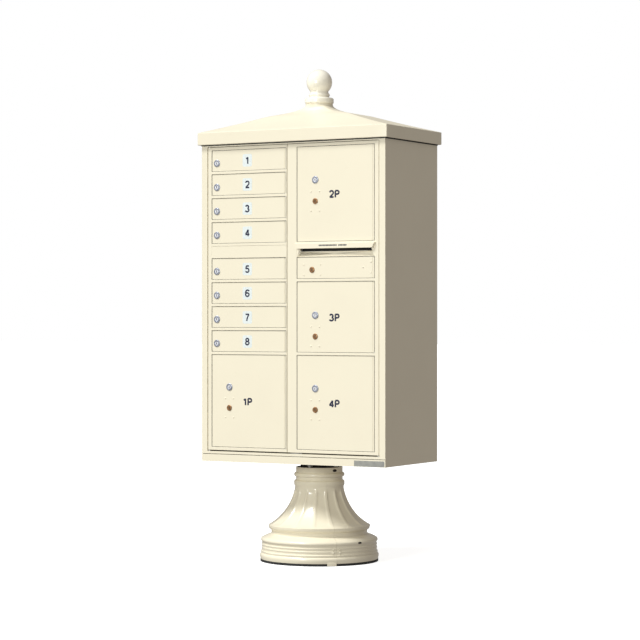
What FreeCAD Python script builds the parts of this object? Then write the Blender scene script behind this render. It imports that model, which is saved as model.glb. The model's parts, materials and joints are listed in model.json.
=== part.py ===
import FreeCAD, Part
import math
import os
from FreeCAD import Vector

# Cluster mailbox unit: a cabinet with eight customer compartments, four parcel lockers and an
# outgoing-mail compartment behind two master doors, on a pedestal with a decorative cover, under
# a hipped roof cap.  Millimetres.  +Z up, the front faces -Y, +X is to the viewer's right.  The
# origin is on the ground at the centre of the unit.

# ---- driving dimensions: case ----
CASE_W = 775.0            # cabinet width
CASE_D = 406.0            # cabinet depth
SHEET = 3.0               # case sheet
CASE_Z = 368.0            # underside of the case above the ground
FLANGE_H = 28.7           # front flange of the floor pan, with the joint above it
FLANGE_GAP = 2.0          # open joint between the flange and the collar
COLLAR_SIDE = 24.0        # width of the collar beside the master doors
COLLAR_FOOT = 13.5        # height of the collar below the master doors
HEAD_H = 43.2             # case above the master doors, most of it inside the cap

# ---- driving dimensions: master doors ----
FRAME_T = 12.0            # depth of the master door frames and of the collar's sills
OUTER_STILE = 19.1        # master door edge to the openings
CENTRE_W = 44.8           # width between the two columns of openings
LEFT_LIP = 3.0            # free stile of the left master door
MASTER_GAP = 2.0          # gap between the master doors and above them
MASTER_FOOT_GAP = 4.5     # gap below them
MASTER_FOOT = 11.8        # bottom rail
MASTER_HEAD = 11.0        # top rail
MASTER_KNUCKLE_R = 5.0    # rolled hinge edge of a master door
MASTER_INSET = 6.3        # collar edge to a master hinge axis
MASTER_PIN_R = 2.5
PIN_COLLAR_R = 4.5        # collar on each pin that carries the door
PIN_COLLAR_CLEAR = 0.1

# ---- driving dimensions: customer and parcel doors ----
TENANTS_PER_GROUP = 4
PITCH = 88.9              # customer door pitch
RAIL = 10.0               # rail between openings
PARCEL_LOW_H = 342.9      # opening height of the two lowest lockers
BAND_H = 44.9             # blank band between the two groups of customer doors
BAND_STEP = 0.6           # the blank band lies back from the rails
SHELL_STEP = 2.0          # the doors lie back from the frame
DOOR_T = 3.2
DOOR_GAP = 1.0
KNUCKLE_R = 3.2           # rolled hinge edge of a door
HINGE_INSET = 5.4         # opening edge to a door's hinge axis
ROD_R = 1.55
RUNNING = 0.05            # radial clearance of pins, rods and lock plugs

# ---- driving dimensions: locks ----
LOCK_BODY_R = 9.0
CHROME_RING_R = 13.5      # face ring of a customer lock
BRASS_RING_R = 11.0       # face ring of a carrier lock
LOCK_RING_T = 2.5
LOCK_NUT_R = 13.0
LOCK_NUT_T = 3.5
LOCK_SEAT = 0.1           # housing in its hole, and nut on its housing
PLUG_R = 6.55
PLUG_SET = 0.4            # plug face behind the ring's face
KEYWAY_W = 1.6
KEYWAY_H = 7.5
KEYWAY_T = 4.0
CAM_T = 2.0
CAM_W = 12.0
CAM_CLEAR = 0.5           # cam behind the back of the frame
TENANT_LOCK_X = 22.0      # from the opening's left edge
TENANT_LOCK_DROP = 8.7    # below the door's centre
PARCEL_LOCK_X = 76.5
LOCK_SPAN = 77.0          # customer lock to carrier lock
CUSTOMER_RISE = 51.0      # customer lock above the door's centre
MIDDLE_RISE = 6.4         # the same on the middle locker
SHORT_CAM = 28.0
STRIKE_W = 58.0           # strike plate beside a locker's locks
STRIKE_T = 3.0
STRIKE_OVER = 16.0        # strike plate above and below the locks
ARROW_LOCK_X = 63.3
ARROW_DROP = 7.0
ARROW_CAM = 70.0
ARROW_CAM_T = 3.0

# ---- driving dimensions: outgoing mail slot ----
SLOT_MARGIN_L = 12.4
SLOT_MARGIN_R = 13.4
SLOT_LIFT = 20.0          # slot above the arrow-lock panel
SLOT_H = 10.5
CHIN_DEPTH = 8.0          # the band below the slot slopes back this far
HOOD_OUT = 8.0
HOOD_H = 20.0
HOOD_OVER = 8.5           # hood past the opening at its free end
HOOD_OVER_HINGE = 6.0     # and at the hinge side, short of the collar when the door stands open
HOOD_TAPER = 9.0          # each end slants inward this much from top to bottom
HOOD_BEVEL = 4.0          # and from the door to the hood's face

# ---- driving dimensions: compartments ----
WALL_T = 2.0
RACK_SETBACK = 25.0       # front edge of the shelves behind the case front
RACK_BACK_GAP = 10.0      # rack to the case back
RACK_SIDE_GAP = 1.6       # opening edge to the rack's side walls
FLOOR_DROP = 5.0          # locker floor below the lowest openings
POST_T = 3.0
POST_CLEAR = 2.0          # master doors to the centre post
POST_LEFT = 12.0
POST_RIGHT = 36.0

# ---- driving dimensions: roof cap and finial ----
CAP_OVERHANG = 12.7
CAP_CLEAR = 0.5
CAP_DROP = 33.5           # fascia below the top of the case
FASCIA_H = 46.0
ROOF_KNEE_RISE = 35.5     # flat lower slope
ROOF_RISE = 100.5         # fascia to the roof's flat top
ROOF_KNEE = 0.62          # share of the half widths at the change of slope
ROOF_TOP = 0.115          # share of the half widths at the flat top
ROOF_LEDGE = 12.5         # bearing of the cap on the case
ROOF_SHELL = 8.0          # height of the roof above its hollow, at the top
BOSS_R = 50.0
BOSS_PROUD = 6.8          # finial's seat above the roof's flat top
COLLAR_R = 53.5
BALL_R = 47.5
BALL_RISE = 80.0          # ball centre above the collar's underside

# ---- driving dimensions: pedestal ----
PAD_R = 219.0
PAD_T = 8.0
BASE_SIDE = 254.0
BASE_T = 12.7
ANCHOR_SPACING = 203.2
ANCHOR_HOLE_R = 8.0
COLUMN_SIDE = 101.6
COLUMN_WALL = 6.35
TOP_R = 84.0              # round top plate
TOP_T = 8.0
CABINET_BOLT_CIRCLE_R = 68.0
CABINET_BOLT_R = 6.0
BOLT_CLEAR = 0.5
HEX_R = 10.5
HEX_T = 8.0
COVER_WALL = 5.0
COVER_SEAM = 47.0         # seam of the half shells, degrees from the front towards +X
SEAM_GAP = 0.1            # degrees

# ---- positions worked out from them ----
FRONT = -CASE_D / 2
BACK = CASE_D / 2
HALF_W = CASE_W / 2
MASTER_X = HALF_W - COLLAR_SIDE
OPENING_X = MASTER_X - OUTER_STILE
OPENING_W = OPENING_X - CENTRE_W / 2
COLUMN_LEFT = {"left": -OPENING_X, "right": CENTRE_W / 2}

SILL_Z = CASE_Z + FLANGE_H
MASTER_Z0 = SILL_Z + COLLAR_FOOT
LOW_Z0 = MASTER_Z0 + MASTER_FOOT
LOW_Z1 = LOW_Z0 + PARCEL_LOW_H
GROUP_H = TENANTS_PER_GROUP * PITCH - RAIL
LOWER_Z0 = LOW_Z1 + RAIL
LOWER_Z1 = LOWER_Z0 + GROUP_H
BAND_Z1 = LOWER_Z1 + BAND_H
UPPER_Z0 = BAND_Z1 + RAIL
UPPER_Z1 = UPPER_Z0 + GROUP_H
MASTER_Z1 = UPPER_Z1 + MASTER_HEAD
CASE_TOP = MASTER_Z1 + HEAD_H
ARROW_Z0 = LOWER_Z1 - PITCH + RAIL
MIDDLE_Z1 = ARROW_Z0 - RAIL

FRAME_BACK = FRONT + FRAME_T
DOOR_FRONT = FRONT + SHELL_STEP
DOOR_BACK = DOOR_FRONT + DOOR_T
HINGE_Y = DOOR_FRONT + KNUCKLE_R
CAM_Y = FRAME_BACK + CAM_CLEAR
RING_FRONT = DOOR_FRONT - LOCK_RING_T
LOCK_BACK = CAM_Y - CAM_CLEAR
MASTER_HINGE_X = MASTER_X - MASTER_INSET
MASTER_HINGE_Y = FRONT + MASTER_KNUCKLE_R
POST_Y = FRAME_BACK + POST_CLEAR
ARROW_CAM_Y = POST_Y + POST_T + POST_CLEAR
RACK_FRONT = FRONT + RACK_SETBACK
RACK_BACK = BACK - SHEET - RACK_BACK_GAP
RACK_X = OPENING_X + RACK_SIDE_GAP
RACK_FLOOR = LOW_Z0 - FLOOR_DROP
RACK_TOP = UPPER_Z1 + FLOOR_DROP
SLOT_Z0 = LOWER_Z1 + SLOT_LIFT
SLOT_Z1 = SLOT_Z0 + SLOT_H
FASCIA_Z0 = CASE_TOP - CAP_DROP
ROOF_Z0 = FASCIA_Z0 + FASCIA_H
ROOF_Z1 = ROOF_Z0 + ROOF_RISE
FINIAL_Z = ROOF_Z1 + BOSS_PROUD


def box(x0, x1, y0, y1, z0, z1):
    return Part.makeBox(x1 - x0, y1 - y0, z1 - z0, Vector(x0, y0, z0))


def upright(x, y, r, z0, z1):
    return Part.makeCylinder(r, z1 - z0, Vector(x, y, z0), Vector(0, 0, 1))


def along_y(x, z, r, y0, y1):
    return Part.makeCylinder(r, y1 - y0, Vector(x, y0, z), Vector(0, 1, 0))


def frustum(x0, y0, z0, x1, y1, z1):
    """Four-sided solid between a rectangle of half sizes x0, y0 and one of half sizes x1, y1."""
    rings = []
    for hx, hy, z in ((x0, y0, z0), (x1, y1, z1)):
        corners = [(-hx, -hy), (hx, -hy), (hx, hy), (-hx, hy), (-hx, -hy)]
        rings.append(Part.makePolygon([Vector(x, y, z) for x, y in corners]))
    return Part.makeLoft(rings, True, True)


def save(name, *solids):
    shape = solids[0] if len(solids) == 1 else Part.makeCompound(list(solids))
    if not shape.isValid() or shape.Volume <= 0:
        raise ValueError(name + " is not a sound solid")
    shape.exportStep("parts/" + name + ".step")


def hinge_x(column):
    """Axis of the customer door hinges, at the right edge of a column's openings."""
    return COLUMN_LEFT[column] + OPENING_W - HINGE_INSET


def bored(solid, x, y, r, z0, z1):
    """A solid with an upright round hole through it."""
    return solid.cut(upright(x, y, r, z0 - 1, z1 + 1))


# ---- pedestal ----
def anchor_places():
    half = ANCHOR_SPACING / 2
    return [(x, y) for x in (-half, half) for y in (-half, half)]


def cabinet_bolt_places():
    """Four bolts beside the flats of the column."""
    r = CABINET_BOLT_CIRCLE_R
    return [(r, 0), (0, r), (-r, 0), (0, -r)]


def base_pad():
    pad = upright(0, 0, PAD_R, 0, PAD_T)
    for x, y in anchor_places():
        pad = bored(pad, x, y, ANCHOR_HOLE_R, 0, PAD_T)
    return pad


def pedestal():
    base_top = PAD_T + BASE_T
    top_z = CASE_Z - TOP_T
    half = BASE_SIDE / 2
    base = box(-half, half, -half, half, PAD_T, base_top)
    for x, y in anchor_places():
        base = bored(base, x, y, ANCHOR_HOLE_R, PAD_T, base_top)
    half = COLUMN_SIDE / 2
    bore = half - COLUMN_WALL
    column = box(-half, half, -half, half, base_top, top_z)
    column = column.cut(box(-bore, bore, -bore, bore, base_top - 1, top_z + 1))
    top = upright(0, 0, TOP_R, top_z, CASE_Z)
    for x, y in cabinet_bolt_places():
        top = bored(top, x, y, CABINET_BOLT_R + BOLT_CLEAR, top_z, CASE_Z)
    return base.fuse(column).fuse(top).removeSplitter()


def hexagon(x, y, z0, z1):
    turns = [math.radians(60 * k) for k in range(7)]
    outline = [Vector(x + HEX_R * math.cos(a), y + HEX_R * math.sin(a), z0) for a in turns]
    return Part.Face(Part.makePolygon(outline)).extrude(Vector(0, 0, z1 - z0))


def cabinet_bolts():
    """Bolts with their heads on the case floor, and nuts under the pedestal's top plate."""
    pieces = []
    top_z = CASE_Z - TOP_T
    floor_z = CASE_Z + SHEET
    for x, y in cabinet_bolt_places():
        shank = upright(x, y, CABINET_BOLT_R, top_z - HEX_T - 4, floor_z)
        pieces.append(shank.fuse(hexagon(x, y, floor_z, floor_z + HEX_T)))
        nut = hexagon(x, y, top_z - HEX_T, top_z)
        pieces.append(bored(nut, x, y, CABINET_BOLT_R + RUNNING, top_z - HEX_T, top_z))
    return pieces


def cover_profile(inward):
    """Half section of the pillar cover from its neck to its foot, moved inward."""
    def at(r, z):
        return Vector(r - inward, 0, z)

    neck = [(86.6, 348), (86.6, 328), (93.5, 324), (93.5, 316), (86.6, 311), (86.6, 301),
            (93.5, 297), (93.5, 281), (90.6, 276), (90.6, 272)]
    foot = [(188.6, 133), (187.5, 121), (178, 113), (178, 102), (204, 92), (216.7, 83), (216.7, 76),
            (211.5, 70), (214, 38), (217, 30), (220.8, 24), (220.8, 16), (218, PAD_T)]
    edges = Part.makePolygon([at(r, z) for r, z in neck]).Edges
    flare = Part.Arc(at(*neck[-1]), at(118.8, 199.5), at(*foot[0]))
    edges.append(flare.toShape())
    edges += Part.makePolygon([at(r, z) for r, z in foot]).Edges
    return edges


def pillar_cover(start):
    """Half shell that begins at an angle, in degrees from +X, and goes almost half round."""
    outer = cover_profile(0)
    inner = cover_profile(COVER_WALL)
    top = Part.makeLine(inner[0].Vertexes[0].Point, outer[0].Vertexes[0].Point)
    bottom = Part.makeLine(outer[-1].Vertexes[-1].Point, inner[-1].Vertexes[-1].Point)
    section = Part.Face(Part.Wire(Part.__sortEdges__(outer + [bottom] + inner + [top])))
    section.rotate(Vector(), Vector(0, 0, 1), start + SEAM_GAP / 2)
    return section.revolve(Vector(), Vector(0, 0, 1), 180 - SEAM_GAP)


# ---- cabinet ----
def cabinet_case():
    wall = HALF_W - SHEET
    front = FRONT + SHEET
    floor = box(-wall, wall, front, BACK - SHEET, CASE_Z, CASE_Z + SHEET)
    for x, y in cabinet_bolt_places():
        floor = bored(floor, x, y, CABINET_BOLT_R + BOLT_CLEAR, CASE_Z, CASE_Z + SHEET)
    return [
        box(-HALF_W, -wall, front, BACK, CASE_Z, CASE_TOP),
        box(wall, HALF_W, front, BACK, CASE_Z, CASE_TOP),
        box(-wall, wall, BACK - SHEET, BACK, CASE_Z, CASE_TOP),
        box(-wall, wall, front, BACK - SHEET, CASE_TOP - SHEET, CASE_TOP),
        floor,
        box(-HALF_W, HALF_W, FRONT, front, CASE_Z, SILL_Z - FLANGE_GAP),
    ]


def front_collar():
    """Frame round the master doors; the pins of their hinges stand in its sill and head."""
    front = FRONT + SHEET
    sill_top = MASTER_Z0 - MASTER_FOOT_GAP
    head = MASTER_Z1 + MASTER_GAP
    bars = [
        box(-MASTER_X, MASTER_X, FRONT, FRAME_BACK, SILL_Z, sill_top),
        box(-MASTER_X, MASTER_X, FRONT, FRAME_BACK, head, CASE_TOP - SHEET),
    ]
    for x in (-MASTER_HINGE_X, MASTER_HINGE_X):
        hole = MASTER_PIN_R + RUNNING
        bars = [bored(bar, x, MASTER_HINGE_Y, hole, SILL_Z, CASE_TOP) for bar in bars]
    for side in (-1, 1):
        edges = sorted((side * HALF_W, side * MASTER_X))
        bars.append(box(edges[0], edges[1], FRONT, front, SILL_Z, CASE_TOP))
        jamb = sorted((side * MASTER_X, side * (MASTER_X + SHEET)))
        bars.append(box(jamb[0], jamb[1], front, FRAME_BACK, SILL_Z, CASE_TOP - SHEET))
    return bars


def master_hinge_pins():
    """Pins from the collar's sill to its head, each with a collar under the door's rolled edge."""
    z0 = SILL_Z + MASTER_GAP
    z1 = MASTER_Z1 + MASTER_GAP + COLLAR_FOOT
    sill_top = MASTER_Z0 - MASTER_FOOT_GAP
    pins = []
    for x in (-MASTER_HINGE_X, MASTER_HINGE_X):
        pin = upright(x, MASTER_HINGE_Y, MASTER_PIN_R, z0, z1)
        rest = upright(x, MASTER_HINGE_Y, PIN_COLLAR_R, sill_top, MASTER_Z0 - PIN_COLLAR_CLEAR)
        pins.append(pin.fuse(rest).removeSplitter())
    return pins


def compartment_rack():
    """Inner walls and the centre partition, whose post the arrow lock's cam goes behind.

    The partition starts at the locker floor, above the heads of the cabinet bolts.
    """
    z0 = CASE_Z + SHEET
    z1 = RACK_TOP + WALL_T
    half = WALL_T / 2
    return [
        box(-RACK_X - WALL_T, -RACK_X, RACK_FRONT, RACK_BACK, z0, z1),
        box(RACK_X, RACK_X + WALL_T, RACK_FRONT, RACK_BACK, z0, z1),
        box(-RACK_X - WALL_T, RACK_X + WALL_T, RACK_BACK, RACK_BACK + WALL_T, z0, z1),
        box(-half, half, POST_Y + POST_T, RACK_BACK, RACK_FLOOR - half, z1),
        box(-POST_LEFT, POST_RIGHT, POST_Y, POST_Y + POST_T, z0, z1),
    ]


def compartment_shelves():
    """Floors of the compartments, level with the rails of the master doors."""
    half_rail = RAIL / 2
    common = [RACK_FLOOR - WALL_T / 2, RACK_TOP + WALL_T / 2, LOW_Z1 + half_rail,
              UPPER_Z0 - half_rail]
    steps = [k * PITCH - half_rail for k in range(1, TENANTS_PER_GROUP)]
    left = common + [LOWER_Z1 + half_rail]
    left += [LOWER_Z0 + step for step in steps] + [UPPER_Z0 + step for step in steps]
    right = common + [ARROW_Z0 - half_rail]
    shelves = []
    for x0, x1, levels in ((-RACK_X, -WALL_T / 2, left), (WALL_T / 2, RACK_X, right)):
        for z in levels:
            shelves.append(box(x0, x1, RACK_FRONT, RACK_BACK, z - WALL_T / 2, z + WALL_T / 2))
    return shelves


# ---- roof cap and finial ----
def roof_cap():
    hx = HALF_W + CAP_OVERHANG
    hy = BACK + CAP_OVERHANG
    z0 = FASCIA_Z0
    z1 = ROOF_Z0
    knee = z1 + ROOF_KNEE_RISE
    top = ROOF_Z1
    cap = box(-hx, hx, -hy, hy, z0, z1)
    cap = cap.fuse(frustum(hx, hy, z1, hx * ROOF_KNEE, hy * ROOF_KNEE, knee))
    cap = cap.fuse(frustum(hx * ROOF_KNEE, hy * ROOF_KNEE, knee, hx * ROOF_TOP, hy * ROOF_TOP, top))
    cap = cap.fuse(upright(0, 0, BOSS_R, knee, FINIAL_Z))
    inner_x = HALF_W + CAP_CLEAR
    inner_y = BACK + CAP_CLEAR
    cap = cap.cut(box(-inner_x, inner_x, -inner_y, inner_y, z0 - 1, CASE_TOP))
    ledge_x = HALF_W - ROOF_LEDGE
    ledge_y = BACK - ROOF_LEDGE
    hollow = frustum(ledge_x, ledge_y, CASE_TOP, hx * ROOF_KNEE, hy * ROOF_KNEE, knee - ROOF_SHELL)
    upper = frustum(hx * ROOF_KNEE, hy * ROOF_KNEE, knee - ROOF_SHELL,
                    hx * ROOF_TOP, hy * ROOF_TOP, top - ROOF_SHELL)
    return cap.cut(hollow.fuse(upper)).removeSplitter()


def roof_finial():
    """Turned ball on a ring and a collar."""
    z = FINIAL_Z
    centre = z + BALL_RISE
    neck_r = 34.0
    neck_z = centre - math.sqrt(BALL_R ** 2 - neck_r ** 2)
    side = [(0, z), (COLLAR_R - 3, z), (COLLAR_R, z + 4), (COLLAR_R, z + 17), (COLLAR_R - 6, z + 21),
            (36, z + 24), (36, z + 27), (39, z + 29), (39, z + 35), (neck_r, z + 39), (neck_r, neck_z)]
    edges = Part.makePolygon([Vector(r, 0, h) for r, h in side]).Edges
    ball = Part.Arc(Vector(neck_r, 0, neck_z), Vector(BALL_R, 0, centre), Vector(0, 0, centre + BALL_R))
    edges.append(ball.toShape())
    edges.append(Part.makeLine(Vector(0, 0, centre + BALL_R), Vector(0, 0, z)))
    section = Part.Face(Part.Wire(edges))
    return section.revolve(Vector(), Vector(0, 0, 1), 360)


# ---- master doors ----
def hinge_stile(side):
    """Outer stile of a master door, with its rolled edge round the hinge pin."""
    x = side * MASTER_HINGE_X
    edges = sorted((x, side * OPENING_X))
    stile = box(edges[0], edges[1], FRONT, FRAME_BACK, MASTER_Z0, MASTER_Z1)
    stile = stile.fuse(upright(x, MASTER_HINGE_Y, MASTER_KNUCKLE_R, MASTER_Z0, MASTER_Z1))
    pin = MASTER_PIN_R + RUNNING
    return bored(stile, x, MASTER_HINGE_Y, pin, MASTER_Z0, MASTER_Z1).removeSplitter()


def rail(column, z0, z1, step=0.0):
    """Cross bar of a master door, with the hole for the door hinge rod."""
    x0 = COLUMN_LEFT[column]
    bar = box(x0, x0 + OPENING_W, FRONT + step, FRAME_BACK, z0, z1)
    return bored(bar, hinge_x(column), HINGE_Y, ROD_R + RUNNING, z0, z1)


def left_master_frame():
    free = -CENTRE_W / 2
    bars = [
        hinge_stile(-1),
        box(free, free + LEFT_LIP, FRONT, FRAME_BACK, MASTER_Z0, MASTER_Z1),
        rail("left", MASTER_Z0, LOW_Z0),
        rail("left", LOW_Z1, LOWER_Z0),
        rail("left", LOWER_Z1, BAND_Z1, BAND_STEP),
        rail("left", BAND_Z1, UPPER_Z0),
        rail("left", UPPER_Z1, MASTER_Z1),
    ]
    for z0 in (LOWER_Z0, UPPER_Z0):
        for k in range(1, TENANTS_PER_GROUP):
            bars.append(rail("left", z0 + k * PITCH - RAIL, z0 + k * PITCH))
    bars.append(strike_plate("left", LOW_Z0, LOW_Z1, CUSTOMER_RISE))
    return bars


def chin():
    """Bar below the mail slot, whose front slopes back to the slot between the slot's ends."""
    low = FRONT + BAND_STEP
    outline = [(low, LOWER_Z1), (FRONT + CHIN_DEPTH, SLOT_Z0), (FRONT - 1, SLOT_Z0),
               (FRONT - 1, LOWER_Z1), (low, LOWER_Z1)]
    x0 = COLUMN_LEFT["right"] + SLOT_MARGIN_L
    length = OPENING_W - SLOT_MARGIN_L - SLOT_MARGIN_R
    section = Part.Face(Part.makePolygon([Vector(x0, y, z) for y, z in outline]))
    return rail("right", LOWER_Z1, SLOT_Z0, BAND_STEP).cut(section.extrude(Vector(length, 0, 0)))


def right_master_frame():
    x0 = COLUMN_LEFT["right"]
    x1 = x0 + OPENING_W
    free = -CENTRE_W / 2 + LEFT_LIP + MASTER_GAP
    return [
        hinge_stile(1),
        box(free, x0, FRONT, FRAME_BACK, MASTER_Z0, MASTER_Z1),
        rail("right", MASTER_Z0, LOW_Z0),
        rail("right", LOW_Z1, LOWER_Z0),
        rail("right", MIDDLE_Z1, ARROW_Z0),
        chin(),
        rail("right", SLOT_Z1, UPPER_Z0),
        rail("right", UPPER_Z1, MASTER_Z1),
        box(x0, x0 + SLOT_MARGIN_L, FRONT + BAND_STEP, FRAME_BACK, SLOT_Z0, SLOT_Z1),
        bored(box(x1 - SLOT_MARGIN_R, x1, FRONT + BAND_STEP, FRAME_BACK, SLOT_Z0, SLOT_Z1),
              hinge_x("right"), HINGE_Y, ROD_R + RUNNING, SLOT_Z0, SLOT_Z1),
        strike_plate("right", LOW_Z0, LOW_Z1, CUSTOMER_RISE),
        strike_plate("right", LOWER_Z0, MIDDLE_Z1, MIDDLE_RISE),
        strike_plate("right", UPPER_Z0, UPPER_Z1, CUSTOMER_RISE),
    ]


def strike_plate(column, z0, z1, rise):
    """Plate that the two short cams of a parcel locker turn behind."""
    x0 = COLUMN_LEFT[column]
    customer = (z0 + z1) / 2 + rise
    low = max(customer - LOCK_SPAN - STRIKE_OVER, z0)
    return box(x0, x0 + STRIKE_W, FRAME_BACK - STRIKE_T, FRAME_BACK, low, customer + STRIKE_OVER)


def hinge_rod(column):
    """Long rod through all the rails and door knuckles of a column."""
    return upright(hinge_x(column), HINGE_Y, ROD_R, LOW_Z0 - MASTER_FOOT / 2, UPPER_Z1 + MASTER_HEAD / 2)


def outgoing_mail_hood():
    """Raised lip above the mail slot, with slanted ends."""
    x0 = COLUMN_LEFT["right"] - HOOD_OVER
    x1 = COLUMN_LEFT["right"] + OPENING_W + HOOD_OVER_HINGE
    z0 = SLOT_Z1
    z1 = z0 + HOOD_H
    outlines = []
    for y, bevel in ((FRONT, 0.0), (FRONT - HOOD_OUT, HOOD_BEVEL)):
        left = x0 + bevel
        right = x1 - bevel
        corners = [(left, z1), (right, z1), (right - HOOD_TAPER, z0), (left + HOOD_TAPER, z0), (left, z1)]
        outlines.append(Part.makePolygon([Vector(x, y, z) for x, z in corners]))
    return Part.makeLoft(outlines, True, True)


# ---- doors and locks ----
def door(column, z0, z1, lock_places):
    """Flat leaf with a rolled hinge edge at its right and a round hole for each lock."""
    low = z0 + DOOR_GAP
    high = z1 - DOOR_GAP
    x = hinge_x(column)
    leaf = box(COLUMN_LEFT[column] + DOOR_GAP, x, DOOR_FRONT, DOOR_BACK, low, high)
    leaf = leaf.fuse(upright(x, HINGE_Y, KNUCKLE_R, low, high))
    leaf = bored(leaf, x, HINGE_Y, ROD_R + RUNNING, low, high)
    for lx, lz in lock_places:
        leaf = leaf.cut(along_y(lx, lz, LOCK_BODY_R + LOCK_SEAT, DOOR_FRONT - 1, DOOR_BACK + 1))
    return leaf.removeSplitter()


def lock_housing(x, z, ring_r):
    """Housing with its face ring, and the round nut behind the door."""
    bore = PLUG_R + RUNNING
    ring = along_y(x, z, ring_r, RING_FRONT, DOOR_FRONT)
    body = ring.fuse(along_y(x, z, LOCK_BODY_R, DOOR_FRONT, LOCK_BACK))
    body = body.cut(along_y(x, z, bore, RING_FRONT - 1, LOCK_BACK + 1))
    nut = along_y(x, z, LOCK_NUT_R, DOOR_BACK, DOOR_BACK + LOCK_NUT_T)
    nut = nut.cut(along_y(x, z, LOCK_BODY_R + LOCK_SEAT, DOOR_BACK - 1, DOOR_BACK + LOCK_NUT_T + 1))
    return [body.removeSplitter(), nut]


def lock_plug(x, z, cam_y, cam_t, reach, up):
    """Plug with an upright keyway, and the cam on its end, which points up or down when unlocked."""
    face = RING_FRONT + PLUG_SET
    plug = along_y(x, z, PLUG_R, face, cam_y)
    half_w = KEYWAY_W / 2
    half_h = KEYWAY_H / 2
    plug = plug.cut(box(x - half_w, x + half_w, face - 1, face + KEYWAY_T, z - half_h, z + half_h))
    half = CAM_W / 2
    tip = z + reach if up else z - reach
    low, high = sorted((z, tip))
    cam = box(x - half, x + half, cam_y, cam_y + cam_t, low, high)
    cam = cam.fuse(along_y(x, z, half, cam_y, cam_y + cam_t)).removeSplitter()
    return [plug, cam]


def tenant_openings():
    """Heights of the eight customer openings, from number 1 at the top."""
    openings = []
    for base in (UPPER_Z0, LOWER_Z0):
        for k in reversed(range(TENANTS_PER_GROUP)):
            z0 = base + k * PITCH
            openings.append((z0, z0 + PITCH - RAIL))
    return openings


def save_tenant_doors():
    for number, (z0, z1) in enumerate(tenant_openings(), 1):
        x = COLUMN_LEFT["left"] + TENANT_LOCK_X
        z = (z0 + z1) / 2 - TENANT_LOCK_DROP
        save("tenant_door_%d" % number, door("left", z0, z1, [(x, z)]))
        save("tenant_lock_%d" % number, *lock_housing(x, z, CHROME_RING_R))
        save("tenant_plug_%d" % number, *lock_plug(x, z, CAM_Y, CAM_T, SHORT_CAM, True))


def save_parcel_doors():
    lockers = [
        ("left", LOW_Z0, LOW_Z1, CUSTOMER_RISE),
        ("right", UPPER_Z0, UPPER_Z1, CUSTOMER_RISE),
        ("right", LOWER_Z0, MIDDLE_Z1, MIDDLE_RISE),
        ("right", LOW_Z0, LOW_Z1, CUSTOMER_RISE),
    ]
    for number, (column, z0, z1, rise) in enumerate(lockers, 1):
        x = COLUMN_LEFT[column] + PARCEL_LOCK_X
        customer = (z0 + z1) / 2 + rise
        carrier = customer - LOCK_SPAN
        save("parcel_door_%d" % number, door(column, z0, z1, [(x, customer), (x, carrier)]))
        save("parcel_locks_%d" % number, *lock_housing(x, customer, CHROME_RING_R),
             *lock_housing(x, carrier, BRASS_RING_R))
        save("parcel_customer_plug_%d" % number,
             *lock_plug(x, customer, CAM_Y, CAM_T, SHORT_CAM, True))
        save("parcel_carrier_plug_%d" % number,
             *lock_plug(x, carrier, CAM_Y, CAM_T, SHORT_CAM, True))


def save_arrow_lock():
    x = COLUMN_LEFT["right"] + ARROW_LOCK_X
    z = (ARROW_Z0 + LOWER_Z1) / 2 - ARROW_DROP
    save("arrow_lock_panel", door("right", ARROW_Z0, LOWER_Z1, [(x, z)]))
    save("arrow_lock", *lock_housing(x, z, BRASS_RING_R))
    save("arrow_plug", *lock_plug(x, z, ARROW_CAM_Y, ARROW_CAM_T, ARROW_CAM, False))


os.makedirs("parts", exist_ok=True)
save("base_pad", base_pad())
save("pedestal", pedestal())
save("cabinet_bolts", *cabinet_bolts())
save("pillar_cover_right", pillar_cover(COVER_SEAM - 90))
save("pillar_cover_left", pillar_cover(COVER_SEAM + 90))
save("cabinet_case", *cabinet_case())
save("front_collar", *front_collar())
save("master_hinge_pins", *master_hinge_pins())
save("compartment_rack", *compartment_rack())
save("compartment_shelves", *compartment_shelves())
save("roof_cap", roof_cap())
save("roof_finial", roof_finial())
save("left_master_frame", *left_master_frame())
save("left_hinge_rod", hinge_rod("left"))
save("right_master_frame", *right_master_frame())
save("right_hinge_rod", hinge_rod("right"))
save("outgoing_mail_hood", outgoing_mail_hood())
save_tenant_doors()
save_parcel_doors()
save_arrow_lock()
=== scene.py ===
import json
import math

import bmesh
import bpy
from mathutils import Matrix, Vector


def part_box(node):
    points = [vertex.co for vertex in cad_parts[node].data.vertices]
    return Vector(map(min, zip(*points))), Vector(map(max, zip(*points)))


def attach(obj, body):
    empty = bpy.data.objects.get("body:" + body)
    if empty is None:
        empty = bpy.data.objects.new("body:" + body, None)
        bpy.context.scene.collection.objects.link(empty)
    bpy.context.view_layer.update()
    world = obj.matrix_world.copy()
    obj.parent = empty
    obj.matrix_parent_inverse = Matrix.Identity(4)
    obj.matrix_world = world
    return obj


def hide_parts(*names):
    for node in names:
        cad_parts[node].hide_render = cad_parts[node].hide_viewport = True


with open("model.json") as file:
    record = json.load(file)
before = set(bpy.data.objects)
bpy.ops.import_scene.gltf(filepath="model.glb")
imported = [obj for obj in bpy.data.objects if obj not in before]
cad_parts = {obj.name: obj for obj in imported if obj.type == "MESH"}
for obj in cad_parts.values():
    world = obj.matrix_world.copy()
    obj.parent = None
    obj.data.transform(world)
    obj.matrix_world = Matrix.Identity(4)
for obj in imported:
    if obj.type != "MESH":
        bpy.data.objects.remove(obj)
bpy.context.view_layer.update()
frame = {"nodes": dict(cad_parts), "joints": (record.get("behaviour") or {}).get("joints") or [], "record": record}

MM = 0.001
NODES = frame["nodes"]
JOINTS = {j["name"]: j for j in frame["joints"]}

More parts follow.
